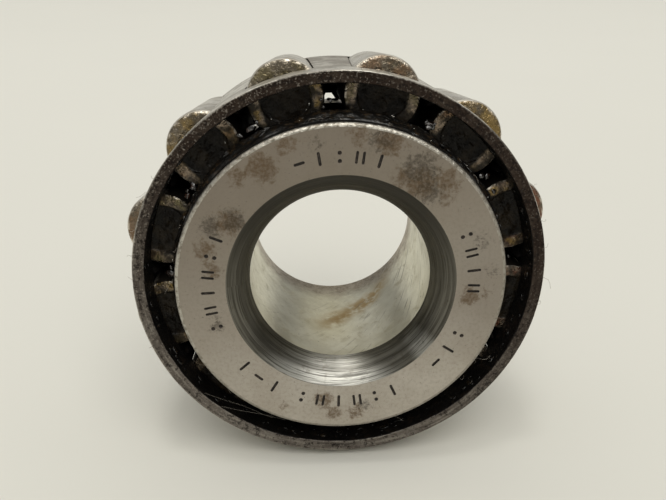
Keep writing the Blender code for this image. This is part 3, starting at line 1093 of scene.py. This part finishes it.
def lumps(name, body, material, places):
    """Small wet lumps as one piece. Each is (point, normal, size)."""
    bm = bmesh.new()
    for point, normal, size in places:
        made = bmesh.ops.create_icosphere(bm, subdivisions=3 if size > 0.2 else 2, radius=size)["verts"]
        offset = Vector((random.uniform(0, 99), random.uniform(0, 99), 0.0))
        stretch = random.uniform(0.8, 1.7)
        for vertex in made:
            wobble = 1 + 0.35 * noise.noise(vertex.co / size * 0.8 + offset)
            vertex.co = Vector((vertex.co.x * stretch, vertex.co.y, vertex.co.z * 0.5)) * wobble
        spin = Matrix.Rotation(random.uniform(0, FULL_TURN), 3, "Z")
        face = normal.to_track_quat("Z", "Y").to_matrix() @ spin
        bmesh.ops.transform(bm, matrix=Matrix.Translation(point) @ face.to_4x4(), verts=made)
    add_piece(name, bm, [material], body)


def grease_bead(material, low=1.2, high=4.55, around=540, across=18):
    """An uneven bead of grease round the inner ring's back rib, in front of the rollers."""
    bm = bmesh.new()
    tops, feet = [], []
    for i in range(around):
        angle = FULL_TURN * i / around
        top, foot = [], []
        for k in range(across + 1):
            share = k / across
            depth = low + (high - low) * share
            rough = noise.fractal(around_axis(3.1, depth * 0.55, angle) * 2.1, 0.7, 2.0, 5)
            swell = noise.noise(around_axis(2.0, 5.0, angle) * 1.3)
            height = (0.30 + 0.30 * rough + 0.22 * swell) * math.sin(math.pi * share) ** 0.7
            top.append(bm.verts.new(around_axis(BACK_FACE_RADIUS + max(0.004, height), depth, angle)))
            foot.append(bm.verts.new(around_axis(BACK_FACE_RADIUS - 0.02, depth, angle)))
        tops.append(top)
        feet.append(foot)
    for rows in (tops, feet):
        for i in range(around):
            strip(bm, rows[i], rows[(i + 1) % around], closed=False)
    for k in (0, across):
        strip(bm, [row[k] for row in tops], [row[k] for row in feet])
    add_piece("grease_bead", bm, [material], "inner_ring")


def lump(bm, place, turn, sizes, seed):
    """One smooth lump: an uneven ellipsoid, turned and put at its place."""
    made = bmesh.ops.create_icosphere(bm, subdivisions=3, radius=1.0)["verts"]
    for vertex in made:
        wobble = 1 + 0.30 * noise.noise(vertex.co * 1.4 + Vector((7.0 * seed, 3.0, 0.0)))
        vertex.co = Vector([vertex.co[k] * sizes[k] for k in range(3)]) * wobble
    bmesh.ops.transform(bm, matrix=Matrix.Translation(place) @ turn, verts=made)


def facing_out(angle):
    """The turn that points +Z away from the bearing's axis and keeps +Y along it."""
    return Matrix.Rotation(math.pi / 2 - angle, 4, "Y")


def bar_grease(material):
    """Grease that hangs inside each of the cage's bars and behind the flange, between two rollers."""
    bm = bmesh.new()
    for i in range(ROLLER_COUNT):
        angle = FIRST_ROLLER_ANGLE + math.pi * (2 * i + 1) / ROLLER_COUNT
        lump(bm, around_axis(cone_radius(8.2, 1), 8.2, angle), facing_out(angle), (0.55, 2.4, 0.62), i)
        for k, offset in enumerate((-0.083, 0.076)):
            turned_by = angle + offset
            middle = around_axis(15.6, 19.95, turned_by)
            lump(bm, middle, facing_out(turned_by), (0.80, 0.42, 0.66), i + 20 * k)
    add_piece("grease_bars", bm, [material], "cage")


def strewn(count, depths, sizes, surface, facing=1):
    """Lumps (point, normal, size) at random on a surface, a function from depth to radius."""
    places = []
    for _ in range(count):
        angle = random.uniform(0, FULL_TURN)
        depth = random.uniform(*depths)
        size = random.uniform(*sizes)
        places.append((around_axis(surface(depth), depth, angle), around_axis(1, 0, angle) * facing, size))
    return places


def gap_clumps():
    """Clumps in the gaps between the rollers' large ends."""
    clumps = []
    for i in range(ROLLER_COUNT):
        gap = FIRST_ROLLER_ANGLE + math.pi * (2 * i + 1) / ROLLER_COUNT
        for _ in range(random.randint(2, 6)):
            angle = gap + random.uniform(-0.075, 0.075)
            place = around_axis(random.uniform(17.55, 18.5), random.uniform(4.3, 4.9), angle)
            clumps.append((place, around_axis(0.4, -1, angle).normalized(), random.uniform(0.12, 0.46)))
    return clumps


def make_grease(glint):
    """Grease lumps on the ribs, between the rollers, inside the cage's rim and on its bars."""
    wet, dull = black_grease(), dull_grease()
    grease_bead(wet)
    bar_grease(dull)
    random.seed(SEED)
    on_rib = strewn(46, (1.8, 4.0), (0.22, 0.42), lambda depth: BACK_FACE_RADIUS + 0.25)
    on_rib += strewn(150, (0.9, 4.5), (0.05, 0.24), lambda depth: BACK_FACE_RADIUS)
    lumps("grease_rib", "inner_ring", wet, on_rib)
    lumps("grease_clumps", "cage", wet_grease(), gap_clumps())
    glints = []
    for _ in range(60):
        angle = random.uniform(-0.9, 4.1)
        place = around_axis(BACK_FACE_RADIUS + random.uniform(0.1, 0.5), random.uniform(1.6, 4.3), angle)
        glints.append((place, around_axis(1, 0, angle), random.uniform(0.03, 0.09)))
    lumps("grease_glints", "inner_ring", glint, glints)
    on_front_rib = []
    for i in range(90):
        angle = FULL_TURN * i / 90 + random.uniform(-0.03, 0.03)
        place = around_axis(SMALL_RIB_RADIUS, random.uniform(19.6, 20.9), angle)
        on_front_rib.append((place, around_axis(1, 0, angle), random.uniform(0.35, 0.6)))
    lumps("grease_front_rib", "inner_ring", dull, on_front_rib)
    on_rim = strewn(30, (3.3, 4.4), (0.22, 0.4), lambda depth: cone_radius(depth, 1), -1)
    on_rim += strewn(170, (3.0, 4.7), (0.05, 0.22), lambda depth: cone_radius(depth, 1), -1)
    lumps("grease_rim", "cage", wet, on_rim)


def fibre(name, body, material, start, along, thickness, curl, count=7):
    """One thread of lint, as a thin tube along a smooth wandering line."""
    curve = bpy.data.curves.new(name, "CURVE")
    curve.dimensions = "3D"
    curve.bevel_depth = thickness / 2 * MM
    curve.bevel_resolution = 1
    curve.use_fill_caps = True
    curve.resolution_u = 6
    line = curve.splines.new("NURBS")
    line.points.add(count - 1)
    sway = random.uniform(0, 50)
    for i in range(count):
        share = i / (count - 1)
        drift = noise.noise_vector(Vector((share * 2.3 + sway, sway, 0.0))) * curl * share
        line.points[i].co = (*((start + along * share + drift) * MM), 1.0)
    line.use_endpoint_u = True
    line.order_u = 4
    curve.materials.append(material)
    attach(new_object(name, curve), body)


def make_lint():
    """A few pale threads caught on the grease and on the cage's rim."""
    f = Finish("lint", metallic=0.0)
    f.colour = f.mix(f.noise(3.0, 2, 0.5), (0.40, 0.37, 0.32), (0.20, 0.175, 0.145))
    material = f.done(0.8)
    random.seed(SEED + 2)
    for i in range(16):
        angle = random.uniform(0, FULL_TURN)
        start = around_axis(17.3, random.uniform(1.0, 3.0), angle)
        across = around_axis(1, random.uniform(-0.6, 0.3), angle + random.uniform(0.6, 1.6)).normalized()
        along = across * random.uniform(1.0, 2.4)
        fibre(f"lint_ring_{i + 1:02d}", "inner_ring", material, start, along, 0.022, 0.8)
    for i, (first, last) in enumerate(((222, 245), (229, 250))):
        start = around_axis(20.1, 1.9, math.radians(first))
        along = around_axis(17.9, 1.5, math.radians(last)) - start
        fibre(f"lint_long_{i + 1:02d}", "cage", material, start, along, 0.016, 0.5)
    for i in range(14):
        angle = random.uniform(-0.6, 3.6)
        start = around_axis(21.6, random.uniform(2.3, 2.4), angle)
        stray = Vector((random.uniform(-1, 1), random.uniform(-1, 0.2), random.uniform(-1, 1)))
        along = (around_axis(1, -0.5, angle) + stray).normalized() * random.uniform(0.5, 1.5)
        fibre(f"lint_rim_{i + 1:02d}", "cage", material, start, along, 0.03, 0.8)


# The stage.


def make_floor():
    """A plain pale floor under the lowest point of the object, with painted shade towards the front."""
    bm = bmesh.new()
    bmesh.ops.create_grid(bm, x_segments=8, y_segments=8, size=3000)
    bmesh.ops.translate(bm, verts=bm.verts, vec=(0, 0, CAD_BOX[0].z / MM - 0.02))
    floor = new_object("floor", finish_mesh(bm, "floor"))
    f = Finish("floor_paint", metallic=0.0, specular=0.3)
    f.colour = f.mix(f.noise(0.02, 3, 0.5), (0.750, 0.743, 0.692), (0.735, 0.728, 0.678))
    # Painted shade: the floor darkens towards the front, on the camera's side.
    f.paint(f.band(f.depth, 300.0, -250.0), (0.64, 0.632, 0.585))
    floor.data.materials.append(f.done(0.65))


def add_light(name, place, size, watts):
    """A square soft light that faces the object."""
    light = bpy.data.lights.new(name, "AREA")
    light.shape = "SQUARE"
    light.size = size
    light.energy = watts
    light.color = (1.0, 0.985, 0.93)
    obj = bpy.data.objects.new(name, light)
    obj.location = place
    obj.rotation_euler = (-Vector(place)).to_track_quat("-Z", "Y").to_euler()
    bpy.context.scene.collection.objects.link(obj)


def make_light():
    """Soft light from above and in front, under a pale sky that is dim near the horizon."""
    world = bpy.data.worlds.new("studio")
    world.use_nodes = True
    tree = world.node_tree
    background = tree.nodes["Background"]
    parts = tree.nodes.new("ShaderNodeSeparateXYZ")
    tree.links.new(tree.nodes.new("ShaderNodeTexCoord").outputs["Generated"], parts.inputs[0])
    brighter = tree.nodes.new("ShaderNodeMath")
    brighter.operation = "MAXIMUM"
    for i, (kind, values) in enumerate((("SMOOTHSTEP", SKY_RAMP), ("LINEAR", HORIZON_STRIP))):
        ramp = tree.nodes.new("ShaderNodeMapRange")
        ramp.interpolation_type = kind
        set_inputs(ramp, dict(zip(("From Min", "From Max", "To Min", "To Max"), values)))
        tree.links.new(parts.outputs["Z"], ramp.inputs["Value"])
        tree.links.new(ramp.outputs["Result"], brighter.inputs[i])
    tree.links.new(brighter.outputs[0], background.inputs["Strength"])
    background.inputs["Color"].default_value = (1.0, 0.985, 0.925, 1.0)
    bpy.context.scene.world = world
    add_light("broad_light", (0.5, -4.0, 5.2), 4.8, 210.0)
    add_light("small_light", (-0.09, -0.22, 1.18), 0.2, 1.9)
    bpy.context.scene.view_settings.view_transform = "Standard"
    bpy.context.scene.view_settings.look = "None"


def make_camera():
    camera_data = bpy.data.cameras.new("camera")
    camera_data.lens = CAMERA_LENS
    camera_data.sensor_width = 36.0
    camera_data.clip_start = 0.005
    camera_data.clip_end = 20.0
    camera = bpy.data.objects.new("camera", camera_data)
    camera.location = Vector(CAMERA_PLACE) * MM
    camera.rotation_euler = (math.pi / 2 - CAMERA_ELEVATION, 0.0, CAMERA_AZIMUTH)
    bpy.context.scene.collection.objects.link(camera)
    bpy.context.scene.camera = camera


def main():
    make_camera()
    make_ring()
    make_cage()
    glint = bare_steel()
    make_rollers(glint)
    make_grease(glint)
    make_lint()
    make_floor()
    make_light()


main()
